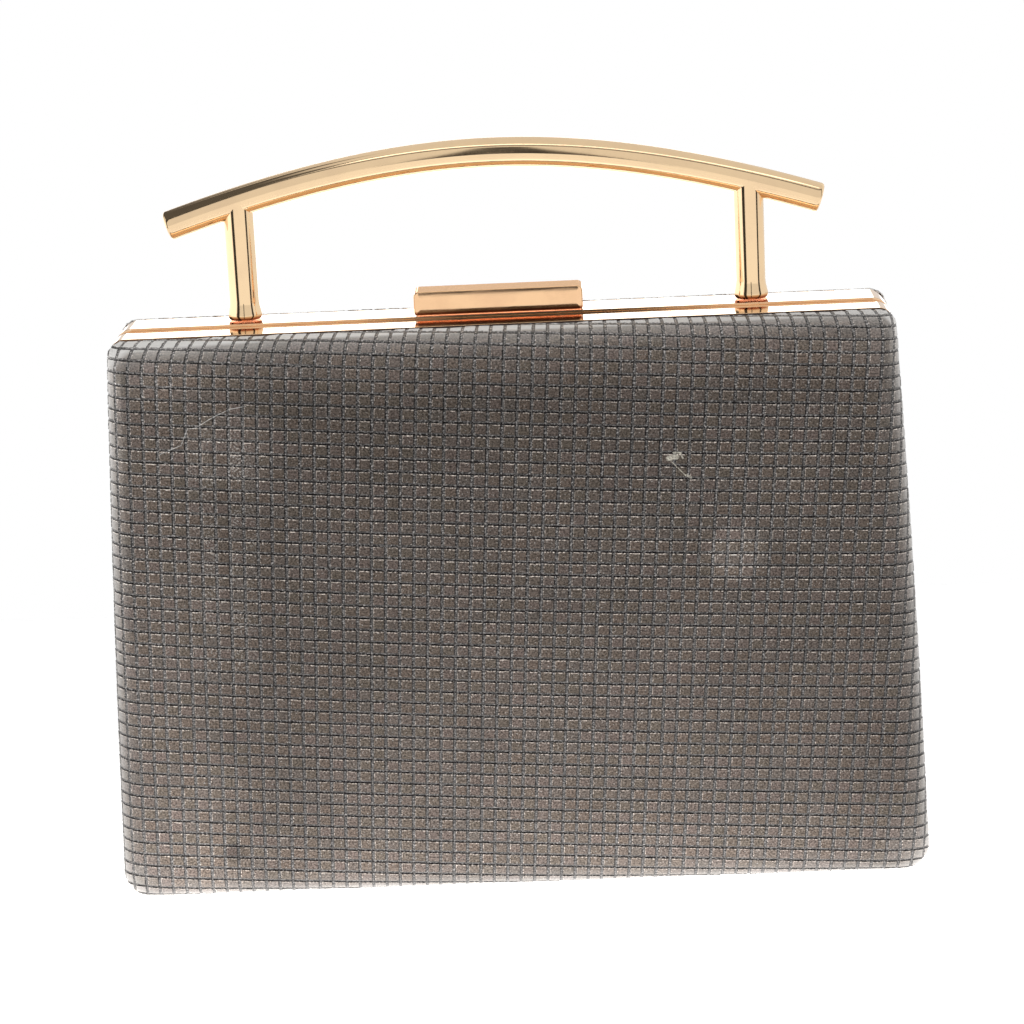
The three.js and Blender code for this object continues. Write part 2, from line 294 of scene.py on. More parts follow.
# Gold platings: tones where bright and where dulled, the tint of what they mirror at a graze, and seats,
# where painted shade lies
GOLDS = {
    "rim_gold": {"bright": (0.94, 0.66, 0.42), "dull": (0.86, 0.58, 0.36), "roughness": 0.05},
    "handle_gold": {
        "bright": (0.95, 0.70, 0.43), "dull": (0.88, 0.64, 0.40), "roughness": 0.06, "seat": SEAT_HEIGHT,
    },
    "clasp_gold": {
        "bright": (0.96, 0.62, 0.36), "dull": (0.88, 0.55, 0.32), "roughness": 0.06, "seat": SEAT_HEIGHT,
        "graze": (1.0, 0.86, 0.73),
    },
    "hinge_gold": {"bright": (0.80, 0.58, 0.36), "dull": (0.62, 0.45, 0.28), "roughness": 0.25},
}

# Camera, fitted to the photograph's outline in a square frame
FRAME_PIXELS = 1024
CAMERA_DISTANCE = 750.0
CAMERA_ELEVATION = math.radians(14.07)
CAMERA_AZIMUTH = math.radians(1.85)
CAMERA_ROLL = math.radians(2.77)
FOCAL_PIXELS = 2996.0
AIM = (0.5, 0.0, 94.1)
SENSOR_WIDTH = 36.0

# The light tent, as directions from the clutch in degrees. Azimuth is from straight in front, to the right.
TENT_LIGHT = 0.76
TENT = [
    {"what": "front wall", "azimuth": (-60, 70), "elevation": (-95, 50), "light": 0.8, "blur": 3},
    {"what": "low front wall", "azimuth": (-60, 70), "elevation": (-95, 0), "light": 1.0, "blur": 6},
    {"what": "left wall", "azimuth": (-200, -57), "elevation": (-95, 13), "light": 1.4, "blur": 3},
    {"what": "right wall", "azimuth": (69, 152), "elevation": (-95, 45), "light": 0.9, "blur": 3},
    {"what": "back wall", "azimuth": (-200, -164), "elevation": (-95, -2), "light": 3.0, "blur": 3},
    {"what": "back wall", "azimuth": (168, 200), "elevation": (-95, -2), "light": 3.0, "blur": 3},
    {"what": "back band", "azimuth": (-200, -164), "elevation": (-2, 7.5), "light": 0.8, "blur": 2},
    {"what": "back band", "azimuth": (168, 200), "elevation": (-2, 7.5), "light": 0.8, "blur": 2},
    {"what": "back light", "azimuth": (-200, -168.5), "elevation": (7.5, 13), "light": 3.4, "blur": 2},
    {"what": "back light", "azimuth": (172.5, 200), "elevation": (7.5, 13), "light": 3.4, "blur": 2},
    {"what": "left flap", "azimuth": (-53, -33), "elevation": (-40, 53), "light": 0.04, "blur": 3},
    {"what": "right flap", "azimuth": (55, 68), "elevation": (-40, 53), "light": 0.04, "blur": 3},
    {"what": "opening", "azimuth": (-4, 1.5), "elevation": (-6, 44), "light": 0.06, "blur": 1.5},
    {"what": "front seam", "azimuth": (-75, 75), "elevation": (52, 57), "light": 0.1, "blur": 3},
    {"what": "left lamp", "azimuth": (-75, 10), "elevation": (63.5, 67), "light": 3.0, "blur": 2},
    {"what": "right lamp", "azimuth": (10, 75), "elevation": (63.5, 67), "light": 2.4, "blur": 2},
    {"what": "left shadow", "azimuth": (-140, -38), "elevation": (44, 70), "light": 0.1, "blur": 6},
    {"what": "left shadow", "azimuth": (-155, -105), "elevation": (28, 50), "light": 0.1, "blur": 6},
    {"what": "left shadow", "azimuth": (-162.5, -105), "elevation": (14, 32), "light": 0.1, "blur": 4},
]
BACKDROP_LIGHT = 1.0
FLOOR = {"left": -700, "right": 700, "front": -300, "back": 250}
FLOOR_GLOW = {"near": 1.6, "far": 0.5, "from": 40, "to": 190}


# Meshes

def add_object(name, points, faces, material):
    """A mesh object from points in millimetres."""
    mesh = bpy.data.meshes.new(name)
    mesh.from_pydata((np.asarray(points, float) * MM).tolist(), [], faces)
    mesh.materials.append(material)
    obj = bpy.data.objects.new(name, mesh)
    bpy.context.scene.collection.objects.link(obj)
    return obj


def turn_outwards(obj):
    """Makes a closed mesh's faces point outwards."""
    work = bmesh.new()
    work.from_mesh(obj.data)
    bmesh.ops.recalc_face_normals(work, faces=work.faces)
    work.to_mesh(obj.data)
    work.free()
    return obj


def shade_smooth(obj, angle):
    """Shades smooth where faces meet more flatly than the angle, in degrees."""
    obj.data.shade_smooth()
    obj.data.set_sharp_from_angle(angle=math.radians(angle))
    flat = obj.modifiers.new("flat faces stay flat", "WEIGHTED_NORMAL")
    flat.keep_sharp = True


def loft(rings, closed):
    """Points and faces of a skin over rings of equal counts, joined in a loop or capped at both ends."""
    count = len(rings[0])
    points = np.concatenate(rings)
    faces = []
    for i in range(len(rings) if closed else len(rings) - 1):
        a = i * count
        b = (i + 1) % len(rings) * count
        faces += [(a + j, b + j, b + (j + 1) % count, a + (j + 1) % count) for j in range(count)]
    if not closed:
        faces.append(tuple(range(count)))
        faces.append(tuple(range(len(points) - count, len(points))))
    return points, faces


def combine(obj, other, operation):
    """Applies a boolean with another object, which is then removed."""
    modifier = obj.modifiers.new(operation, "BOOLEAN")
    modifier.operation = operation
    modifier.solver = "EXACT"
    modifier.object = other
    depsgraph = bpy.context.evaluated_depsgraph_get()
    made = bpy.data.meshes.new_from_object(obj.evaluated_get(depsgraph))
    obj.modifiers.clear()
    obj.data = made
    bpy.data.objects.remove(other)


def rounded_outline(corners, steps):
    """Points round a polygon, counter-clockwise, with each corner rounded. Corners are (x, z, radius)."""
    points = []
    for i, (x, z, radius) in enumerate(corners):
        here = np.array((x, z))
        arriving = here - np.array(corners[i - 1][:2])
        leaving = np.array(corners[(i + 1) % len(corners)][:2]) - here
        start = math.atan2(arriving[1], arriving[0]) - math.pi / 2
        turn = (math.atan2(leaving[1], leaving[0]) - math.pi / 2 - start) % (2 * math.pi)
        back = arriving / np.linalg.norm(arriving) * radius * math.tan(turn / 2)
        centre = here - back - radius * np.array((math.cos(start), math.sin(start)))
        angles = start + turn * np.arange(steps + 1) / steps
        points.append(centre + radius * np.stack((np.cos(angles), np.sin(angles)), -1))
    return np.concatenate(points)


def at_depth(outline, depth):
    """Points of an outline in the X and Z plane, moved to a depth along Y."""
    return np.stack((outline[:, 0], np.full(len(outline), depth), outline[:, 1]), -1)


# Materials

class Nodes:
    """Short forms for building a node tree."""

    def __init__(self, tree):
        self.tree = tree
        tree.nodes.clear()

    def add(self, kind, inputs=None, **settings):
        node = self.tree.nodes.new(kind)
        for key, value in settings.items():
            setattr(node, key, value)
        for key, value in (inputs or {}).items():
            self.put(node.inputs[key], value)
        return node

    def put(self, socket, value):
        """Links a socket or sets a constant. A tone is red, green and blue."""
        if isinstance(value, bpy.types.NodeSocket):
            self.tree.links.new(value, socket)
        elif socket.type == "RGBA":
            socket.default_value = (*value, 1.0)
        else:
            socket.default_value = value

    def math(self, operation, *values):
        node = self.add("ShaderNodeMath", operation=operation)
        for socket, value in zip(node.inputs, values):
            self.put(socket, value)
        return node.outputs[0]

    def product(self, first, *others):
        for other in others:
            first = self.math("MULTIPLY", first, other)
        return first

    def vector(self, operation, *values):
        node = self.add("ShaderNodeVectorMath", operation=operation)
        sockets = [socket for socket in node.inputs if socket.enabled]
        for socket, value in zip(sockets, values):
            self.put(socket, value)
        return next(socket for socket in node.outputs if socket.enabled)

    def parts(self, vector):
        return self.add("ShaderNodeSeparateXYZ", {"Vector": vector}).outputs

    def mix(self, factor, a, b):
        """A tone between two others."""
        node = self.add("ShaderNodeMix", data_type="RGBA")
        for socket, value in zip((node.inputs[0], node.inputs[6], node.inputs[7]), (factor, a, b)):
            self.put(socket, value)
        return node.outputs[2]

    def between(self, factor, a, b):
        """A number between two others."""
        node = self.add("ShaderNodeMix", data_type="FLOAT")
        for socket, value in zip((node.inputs[0], node.inputs[2], node.inputs[3]), (factor, a, b)):
            self.put(socket, value)
        return node.outputs[0]

    def ramp(self, factor, stops):
        """A tone between those of the stops, which are pairs of a place and a tone."""
        node = self.add("ShaderNodeValToRGB", {"Fac": factor})
        elements = node.color_ramp.elements
        while len(elements) < len(stops):
            elements.new(1.0)
        for element, (place, tone) in zip(elements, stops):
            element.position = place
            element.color = (*tone, 1.0)
        return node.outputs[0]

    def span(self, value, low, high, to_low=0.0, to_high=1.0, smooth=False):
        """Goes from one number to another as the value goes from low to high, and no further."""
        inputs = {"Value": value, "From Min": low, "From Max": high, "To Min": to_low, "To Max": to_high}
        kind = "SMOOTHSTEP" if smooth else "LINEAR"
        return self.add("ShaderNodeMapRange", inputs, interpolation_type=kind).outputs[0]

    def band(self, value, low, high, blur):
        """One between two limits, falling to nought over the blur round each."""
        rise = self.span(value, low - blur / 2, low + blur / 2, smooth=True)
        fall = self.span(value, high + blur / 2, high - blur / 2, smooth=True)
        return self.product(rise, fall)

    def noise(self, vector, scale, detail=2.0, roughness=0.5):
        inputs = {"Vector": vector, "Scale": scale, "Detail": detail, "Roughness": roughness}
        return self.add("ShaderNodeTexNoise", inputs).outputs[0]


def new_material(name):
    """A material and the short forms for its nodes."""
    material = bpy.data.materials.new(name)
    material.use_nodes = True
    return material, Nodes(material.node_tree)


def finish_material(nodes, inputs):
    """Adds the shader and the output."""
    shader = nodes.add("ShaderNodeBsdfPrincipled", inputs)
    nodes.add("ShaderNodeOutputMaterial", {"Surface": shader.outputs[0]})


def gold(name, bright, dull, roughness, seat=None, graze=(1.0, 1.0, 1.0)):
    """Polished plating, dulled in clouds, finely scratched along the piece, with painted reddish brown
    shade at its seat.
    """
    material, n = new_material(name)
    place = n.add("ShaderNodeTexCoord").outputs["Object"]
    clouds = n.noise(place, scale=90.0, detail=4.0, roughness=0.6)
    along = n.add("ShaderNodeMapping", {"Vector": place, "Scale": (120.0, 2500.0, 2500.0)}).outputs[0]
    scratches = n.noise(along, scale=1.0, detail=3.0, roughness=0.65)
    tone = n.mix(n.span(clouds, 0.42, 0.72), bright, dull)
    if seat:
        # Painted shade low at the seat
        height = n.parts(place)[2]
        seat_shade = n.span(height, (seat + SEAT_SHADE["height"]) * MM, (seat + SEAT_SHADE["height"] / 2) * MM)
        tone = n.mix(seat_shade, tone, SEAT_SHADE["tone"])
    haze = n.span(clouds, 0.35, 0.75, roughness, roughness + 0.05)
    gloss = n.math("ADD", haze, n.span(scratches, 0.55, 0.8, 0.0, 0.06))
    bump = n.add("ShaderNodeBump", {"Height": scratches, "Strength": 0.04, "Distance": 0.05 * MM})
    finish_material(n, {
        "Base Color": tone,
        "Metallic": 1.0,
        "Roughness": gloss,
        "Specular Tint": graze,
        "Normal": bump.outputs[0],
    })
    return material


def sheet_places(n):
    """What the sheet's looks depend on: places on the cover and within its cells, and noises."""
    place = n.vector("SCALE", n.add("ShaderNodeTexCoord").outputs["Object"], 1 / MM)
    x, y, z = n.parts(place)
    uv = n.add("ShaderNodeUVMap", uv_map="cells").outputs[0]
    noise = {"Vector": uv, "Scale": WAVER["scale"], "Detail": WAVER["detail"]}
    waver = n.vector("SUBTRACT", n.add("ShaderNodeTexNoise", noise).outputs["Color"], (0.5, 0.5, 0.5))
    u, v, _ = n.parts(n.vector("ADD", uv, n.vector("SCALE", waver, WAVER["reach"])))
    at = SimpleNamespace(x=x, z=z, uv=uv, u=u)
    at.flat = n.vector("MULTIPLY", place, (1.0, 0.0, 1.0))
    at.in_front = n.math("LESS_THAN", y, 0.0)
    at.inset = n.add("ShaderNodeAttribute", attribute_name="inset").outputs["Fac"]
    at.share_u = n.math("FRACT", u)
    at.share_v = n.math("FRACT", v)
    at.from_middle_u = n.math("ABSOLUTE", n.math("SUBTRACT", at.share_u, 0.5))
    at.from_middle_v = n.math("ABSOLUTE", n.math("SUBTRACT", at.share_v, 0.5))
    from_groove = n.math("SUBTRACT", 0.5, n.math("MAXIMUM", at.from_middle_u, at.from_middle_v))
    at.on_square = n.span(from_groove, *SQUARE_EDGE)
    for name, row in NOISES.items():
        shifted = n.vector("ADD", uv, row["shift"])
        setattr(at, name, n.noise(shifted, row["scale"], row["detail"], row["roughness"]))
    return at


def change(n, at, what):
    """The number that a row of the changes gives."""
    row = CHANGES[what]
    return n.span(getattr(at, row["by"]), row["from"], row["to"], row["start"], row["end"])


def broken_line(n, at, what):
    """A line along one side of every square, broken by the specks."""
    row = LINES[what]
    line = n.band(getattr(at, row["across"]), row["from"], row["to"], row["blur"])
    return n.product(line, n.span(at.specks, *row["specks"], *row["strength"]))


def square_tone(n, at):
    """Brownish squares, made brighter low down with painted light, each with a broken painted highlight
    along its top edge and a fainter one on its left.
    """
    cell = n.vector("FLOOR", at.uv)
    chance = n.add("ShaderNodeTexWhiteNoise", {"Vector": cell}, noise_dimensions="2D").outputs[0]
    tone = n.ramp(chance, [(row["chance"], row["tone"]) for row in SQUARE_TONES])
    # Painted light: the squares are brighter low down
    tone = n.vector("SCALE", tone, change(n, at, "square"))
    # Painted highlights along each square's top and left edges
    top_highlight = n.product(
        broken_line(n, at, "painted top edge highlight"),
        n.span(at.from_middle_u, *LINE_ENDS),
        change(n, at, "painted top edge highlight"),
        change(n, at, "top edge highlight near the fold"),
    )
    left_highlight = n.product(broken_line(n, at, "painted left edge highlight"), n.span(at.from_middle_v, *LINE_ENDS))
    return n.mix(n.math("MAXIMUM", top_highlight, left_highlight), tone, EDGE_HIGHLIGHT_TONE)


def groove_tone(n, at):
    """Grey grooves with light specks, most in upright ones, and painted shade in the creases above and
    beside squares.
    """
    left = n.span(at.share_u, *UPRIGHT_GROOVE["left"])
    right = n.span(at.share_u, *UPRIGHT_GROOVE["right"])
    upright = n.math("MAXIMUM", left, right)
    strength = n.span(upright, 0.0, 1.0, LEVEL_GLINTS, UPRIGHT_GLINTS)
    glints = n.product(change(n, at, "glints by specks"), strength, change(n, at, "glints"))
    tone = n.mix(glints, GROOVE_TONE, GLINT_TONE)
    # Painted shade in the creases above and beside each square
    beside = n.product(broken_line(n, at, "painted shade beside"), change(n, at, "painted shade beside"))
    dark = n.math("MAXIMUM", broken_line(n, at, "painted shade above"), beside)
    return n.mix(dark, tone, CREASE_SHADE_TONE)


def painted_light_strips(n, at, tone):
    """Paints light on the sheet: paler on its left side, at the bottom and at the top."""
    gains = {
        "left side": change(n, at, "left side's painted light"),
        "bottom": change(n, at, "bottom's painted light"),
        "top": TOP_LIGHT_GAIN,
    }
    for strip in PAINTED_LIGHT_STRIPS:
        place = getattr(at, strip["by"])
        gain = n.span(place, strip["from"], strip["to"], 1.0, gains[strip["what"]], smooth=True)
        tone = n.vector("SCALE", tone, gain)
    return tone


def spark_share(n, at):
    """Light specks here and there, and more of them on the rubbed columns of squares."""
    rubbed = 0.0
    for row in RUBBED_COLUMNS:
        column = n.band(at.u, row["column"], row["column"] + 1.0, COLUMN_BLUR)
        rubbed = n.math("MAXIMUM", rubbed, n.product(column, row["strength"]))
    rubbed_height = n.band(at.z, RUBBED["low"], RUBBED["high"], RUBBED["fade"])
    rubbed = n.product(rubbed, rubbed_height, at.in_front, change(n, at, "rubbed patches"))
    rubbed_sparks = n.product(change(n, at, "rubbed sparks"), rubbed)
    return n.product(n.math("MAXIMUM", change(n, at, "sparks"), rubbed_sparks), SPARKS)


def fold_highlight_share(n, at):
    """How pale painted highlight makes the sheet towards the fold under the rim, most along the top on the
    left.
    """
    from_side = n.math("DIVIDE", at.inset, FOLD_WIDTH)
    from_top = n.math("DIVIDE", from_side, change(n, at, "top fold's width"))
    side = n.ramp(from_side, [(row["inset"] / FOLD_WIDTH, (row["side"],) * 3) for row in FOLD])
    top = n.ramp(from_top, [(row["inset"] / FOLD_WIDTH, (row["top"],) * 3) for row in FOLD])
    side = n.product(side, change(n, at, "side fold"), change(n, at, "side fold low down"))
    top = n.product(top, change(n, at, "top fold"))
    fold = n.between(change(n, at, "side fold to top fold"), side, top)
    behind = n.span(at.inset, BACK_FOLD["from"], BACK_FOLD["to"], 0.0, BACK_FOLD["strength"])
    behind = n.product(behind, n.math("SUBTRACT", 1.0, at.in_front))
    reaching = n.span(at.on_square, 0.0, 1.0, FOLD_IN_GROOVE, 1.0)
    return n.product(n.math("MAXIMUM", fold, behind), reaching)


def stroke_mask(n, at, stroke):
    """How much of a pale stroke lies at a place on the cover."""
    start, end = (np.array((stroke[key][0], 0, stroke[key][1])) for key in ("from", "to"))
    reach = end - start
    from_start = n.vector("SUBTRACT", at.flat, start)
    share = n.math("DIVIDE", n.vector("DOT_PRODUCT", from_start, reach), float(reach @ reach))
    nearest = n.vector("SCALE", tuple(reach), n.add("ShaderNodeClamp", {0: share}).outputs[0])
    distance = n.vector("LENGTH", n.vector("SUBTRACT", from_start, nearest))
    half = stroke["width"] / 2
    return n.span(distance, half, half / 2, 0.0, stroke["strength"])


def spot_mask(n, at, spot):
    """How much of a soft round spot lies at a place on the cover."""
    centre = (spot["place"][0], 0, spot["place"][1])
    distance = n.vector("LENGTH", n.vector("SUBTRACT", at.flat, centre))
    return n.span(distance, spot["radius"], spot["radius"] / 2, smooth=True)


def worn_tone(n, at, tone):
    """Adds the spots, the flecks and the scratch."""
    for spot in SPOTS:
        mask = n.product(spot_mask(n, at, spot), at.in_front)
        tone = n.vector("SCALE", tone, n.span(mask, 0.0, 1.0, 1.0, spot["light"]))
    broken = change(n, at, "broken strokes")
    strokes = [{**fleck, "tone": FLECK_TONE} for fleck in FLECKS]
    for start, end in zip(SCRATCH_PLACES, SCRATCH_PLACES[1:]):
        strokes.append({**SCRATCH, "from": start, "to": end})
    for stroke in strokes:
        mask = n.product(stroke_mask(n, at, stroke), at.in_front, broken)
        tone = n.mix(mask, tone, stroke["tone"])
    return tone


def embossed_sheet():
    """Pewter-taupe metallic sheet: brownish squares with painted edge highlights, grey sparkling grooves,
    painted crease shade, painted light strips and folds made pale by painted highlight.
    """
    material, n = new_material("embossed_sheet")
    at = sheet_places(n)
    at.fold = fold_highlight_share(n, at)
    tone = n.mix(at.on_square, groove_tone(n, at), square_tone(n, at))
    tone = n.vector("SCALE", tone, change(n, at, "light of the grain"))
    tone = n.vector("SCALE", tone, change(n, at, "light of the clouds"))
    # Painted light strips on the left side, at the bottom and at the top
    tone = n.mix(spark_share(n, at), painted_light_strips(n, at, tone), SPARK_TONE)
    # Painted highlight makes the sheet pale towards its fold under the rim
    tone = worn_tone(n, at, n.mix(at.fold, tone, FOLD_HIGHLIGHT_TONE))
    roughness = n.math("SUBTRACT", change(n, at, "roughness"), change(n, at, "polish of the fold"))
    bumps = {"Height": at.grain, "Strength": change(n, at, "bumps"), "Distance": BUMP_HEIGHT * MM}
    finish_material(n, {
        "Base Color": tone,
        "Metallic": change(n, at, "metal"),
        "Roughness": roughness,
        "Normal": n.add("ShaderNodeBump", bumps).outputs[0],
    })
    return material


def rim_gap_shade():
    """Painted shade in the gap where the sheet meets the rim: a dark brown line, paler towards the left."""
    material, n = new_material("rim_gap_shade")
    place = n.add("ShaderNodeTexCoord").outputs["Object"]
    x = n.parts(place)[0]
    grain = n.noise(place, scale=700.0, detail=3.0)
    dark = n.ramp(grain, [(0.3, (0.045, 0.024, 0.020)), (0.7, (0.110, 0.066, 0.052))])
    tone = n.mix(n.span(x, -20 * MM, -90 * MM), dark, (0.30, 0.17, 0.10))
    finish_material(n, {"Base Color": tone, "Metallic": 0.4, "Roughness": 0.5})
    return material


def satin_lining():
    """Dark satin inside the shells."""
    material, n = new_material("satin_lining")
    place = n.add("ShaderNodeTexCoord").outputs["Object"]
    wave = {"Vector": place, "Scale": 900.0, "Distortion": 1.5}
    weave = n.add("ShaderNodeTexWave", wave, bands_direction="DIAGONAL").outputs[1]
    clouds = n.noise(place, scale=60.0, detail=3.0)
    tone = n.ramp(clouds, [(0.3, (0.030, 0.028, 0.028)), (0.7, (0.055, 0.050, 0.048))])
    gloss = n.span(clouds, 0.3, 0.7, 0.42, 0.55)
    bump = n.add("ShaderNodeBump", {"Height": weave, "Strength": 0.25, "Distance": 0.1 * MM})
    finish_material(n, {
        "Base Color": tone,
        "Roughness": gloss,
        "Sheen Weight": 0.3,
        "Normal": bump.outputs[0],
    })
    return material


# Covers

def cover_field(half):
    """Top, bottom and half-width of a cover's outline."""
    def half_width(z):
        bow = SIDE_BOW * (1 - (2 * z / BODY_HEIGHT - 1) ** 2)
        return BOTTOM_WIDTH / 2 - LEAN * z - SIDE_MARGIN + bow
    return BODY_HEIGHT + half["proud"] - half["top_margin"], BOTTOM_MARGIN, half_width


def edge_section():
    """Lengths along the rounded edge's section from the outline, and the insets that they reach."""
    angle = np.linspace(0, math.pi / 2, EDGE_SAMPLES)
    inset = EDGE_WIDTH * (1 - np.cos(angle))
    lift = EDGE_RISE * np.sin(angle)
    run = np.concatenate(([0], np.cumsum(np.hypot(np.diff(inset), np.diff(lift)))))
    return run, inset


EDGE_RUN, EDGE_INSET = edge_section()
EDGE_SPARE = EDGE_RUN[-1] - EDGE_WIDTH  # how much longer the rounded edge is than it looks from the front


def bent_inset(flat_inset):
    """Inset from the outline of a point of the flat sheet, which reaches past it by the spare length."""
    run = flat_inset + EDGE_SPARE
    bent = np.interp(run, EDGE_RUN, EDGE_INSET)
    return np.where(run < 0, run, np.where(run < EDGE_RUN[-1], bent, flat_inset))


def rounded_inset(side, end, radius):
    """Inset from the outline with rounded corners, whose radius grows inwards, and the way inwards."""
    growth = 1 + CORNER_GROWTH
    nearest = np.minimum(side, end)
    in_corner = np.maximum(side, end) < radius + growth * nearest
    p = radius - side
    q = radius - end
    a = 2 * growth**2 - CORNER_GROWTH**2
    b = 2 * growth * (p + q) - 2 * CORNER_GROWTH * radius
    c = p**2 + q**2 - radius**2
    arc = (-b + np.sqrt(np.maximum(b**2 - 4 * a * c, 0))) / (2 * a)
    inset = np.where(in_corner, arc, nearest)
    centre = radius + growth * inset
    way = np.where(
        in_corner,
        np.stack((centre - side, centre - end)),
        np.stack((side <= end, side > end)).astype(float),
    )
    return inset, way / np.maximum(np.linalg.norm(way, axis=0), TINY)


def cover_points(half, flat_x, flat_z):
    """Places of the flat sheet's points on the cover, and their insets from its outline."""
    top, bottom, half_width = cover_field(half)
    upper = flat_z > PEAK_HEIGHT
    z = np.where(upper, top - bent_inset(top - flat_z), bottom + bent_inset(flat_z - bottom))
    width = half_width(np.clip(z, bottom, top))
    side = bent_inset(width - np.abs(flat_x))
    end = np.where(upper, top - z, z - bottom)
    inset, way = rounded_inset(side, end, np.where(upper, TOP_CORNER_RADIUS, BOTTOM_CORNER_RADIUS))

    # Past the outline the sheet folds back into the gap behind the shell's edge
    past = np.maximum(-inset, 0)
    fold = (past + np.minimum(past, TUCK)) * way
    x = np.sign(flat_x) * (width - side - fold[0])
    z = z + np.where(upper, -1, 1) * fold[1]

    lift = EDGE_RISE * np.sqrt(1 - (1 - np.clip(inset / EDGE_WIDTH, 0, 1)) ** 2)
    reach = np.where(upper, top - PEAK_HEIGHT, PEAK_HEIGHT - bottom)
    dome = (1 - (x / width) ** 2) * (1 - ((z - PEAK_HEIGHT) / reach) ** 2)
    dome = np.where(past > 0, 0, half["dome"] * np.maximum(dome, 0))
    depth = half["depth"] + FIT_GAP + lift + dome - np.minimum(past, TUCK_DROP)
    return np.stack((x, half["side"] * depth, z), -1), inset


def mesh_lines(reach):
    """Places of the mesh's lines over the cells within reach, in cells, and the relief's height on each."""
    cells = np.arange(-math.ceil(reach), math.ceil(reach) + 1)
    places = np.array([row["place"] for row in CELL_PROFILE])
    heights = np.array([row["height"] for row in CELL_PROFILE])
    return (cells[:, None] + places).ravel(), np.tile(heights, len(cells))


def uneven_relief(u, v, share):
    """Height of the relief, with each square a little higher or lower and tilted."""
    rng = np.random.default_rng(SPREAD_SEED)
    cell_u = np.floor(u).astype(int)
    cell_v = np.floor(v).astype(int)
    shape = (np.ptp(cell_v) + 1, np.ptp(cell_u) + 1)
    rise, tilt_u, tilt_v = rng.normal(size=(3, *shape))[:, cell_v - cell_v.min(), cell_u - cell_u.min()]
    from_middle_u = CELL["width"] * (u - cell_u - 0.5)
    from_middle_v = CELL["height"] * (v - cell_v - 0.5)
    leaning = TILT_SPREAD * (tilt_u * from_middle_u + tilt_v * from_middle_v)
    return share * (RELIEF + RELIEF_SPREAD * rise + leaning)


def flat_sheet(u, v):
    """Places of the cells' points on the sheet laid flat, as seen from outside."""
    along_u = CELL["width"] * u
    along_v = CELL["height"] * v
    z = along_u * math.sin(CELL_TURN) + along_v * math.cos(CELL_TURN) + BODY_HEIGHT / 2
    at_top = np.maximum(z - BODY_HEIGHT + TOP_DRAW_IN["band"], 0)
    gather = 1 + DRAW_IN * (z - BODY_HEIGHT / 2) - TOP_DRAW_IN["share"] * at_top**2
    x = (along_u * math.cos(CELL_TURN) - along_v * math.sin(CELL_TURN)) * gather
    return x, z


def sheet_grid(half):
    """Points where the sheet's mesh lines cross, their places in cells and insets from the outline."""
    spare = EDGE_SPARE + TUCK
    reach_x = (1 + DRAW_IN * BODY_HEIGHT) * (BOTTOM_WIDTH / 2 + spare)
    reach_z = BODY_HEIGHT / 2 + spare
    skew = abs(math.sin(CELL_TURN))
    u_lines, u_heights = mesh_lines((reach_x + skew * reach_z) / CELL["width"])
    v_lines, v_heights = mesh_lines((reach_z + skew * reach_x) / CELL["height"])
    u, v = np.meshgrid(u_lines, v_lines)
    relief = uneven_relief(u, v, np.minimum.outer(v_heights, u_heights))
    # Seen from behind, the back cover's squares lean as the front one's do from the front
    flat_x, flat_z = flat_sheet(u, v)
    points, inset = cover_points(half, -half["side"] * flat_x, flat_z)
    normal = np.cross(np.gradient(points, axis=1), np.gradient(points, axis=0))
    normal /= np.maximum(np.linalg.norm(normal, axis=-1, keepdims=True), TINY)
    fade = np.clip(np.interp(inset, EDGE_INSET, EDGE_RUN) / TUCK_FADE, 0, 1)
    points = points + (fade * (SHEET_CLEARANCE + relief))[..., None] * normal
    return points, np.stack((u, v), -1), inset


def make_cover(name, body, material):
    """The embossed sheet over one shell: a mesh that follows its squares, trimmed inside the tuck."""
    points, cells, inset = sheet_grid(HALVES[body])
    index = np.arange(inset.size).reshape(inset.shape)
    quads = np.stack((index[:-1, :-1], index[:-1, 1:], index[1:, 1:], index[1:, :-1]), -1).reshape(-1, 4)
    inside = (inset > -TUCK).ravel()
    quads = quads[inside[quads].any(1)]
    used, packed = np.unique(quads, return_inverse=True)
    quads = packed.reshape(-1, 4)
    cover = add_object(name, points.reshape(-1, 3)[used], quads.tolist(), material)
    cells = cells.reshape(-1, 2)[used][quads.ravel()]
    cover.data.uv_layers.new(name="cells").data.foreach_set("uv", cells.astype(np.float32).ravel())
    cover.data.attributes.new("inset", "FLOAT", "POINT").data.foreach_set("value", inset.ravel()[used])
    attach(cover, body)


# Metal pieces

def rim_ring(half, inset, depth):
    """Points round a rim at an inset from its outline and a depth from the parting."""
    top = BODY_HEIGHT + half["proud"] - inset
    grown = half["proud"] - inset
    def half_width(z):
        return BOTTOM_WIDTH / 2 - inset - LEAN * z
    corners = [
        (-half_width(inset), inset, BOTTOM_CORNER_RADIUS + grown),
        (half_width(inset), inset, BOTTOM_CORNER_RADIUS + grown),
        (half_width(top), top, TOP_CORNER_RADIUS + grown),
        (-half_width(top), top, TOP_CORNER_RADIUS + grown),
    ]
    return at_depth(rounded_outline(corners, RIM_CORNER_STEPS), half["side"] * depth)


def quarter(radius, steps=4):
    """Pairs of offsets along a quarter round, from (0, radius) to (radius, 0)."""
    angles = np.linspace(0, math.pi / 2, steps + 1)
    return list(zip(radius * (1 - np.cos(angles)), radius * (1 - np.sin(angles))))


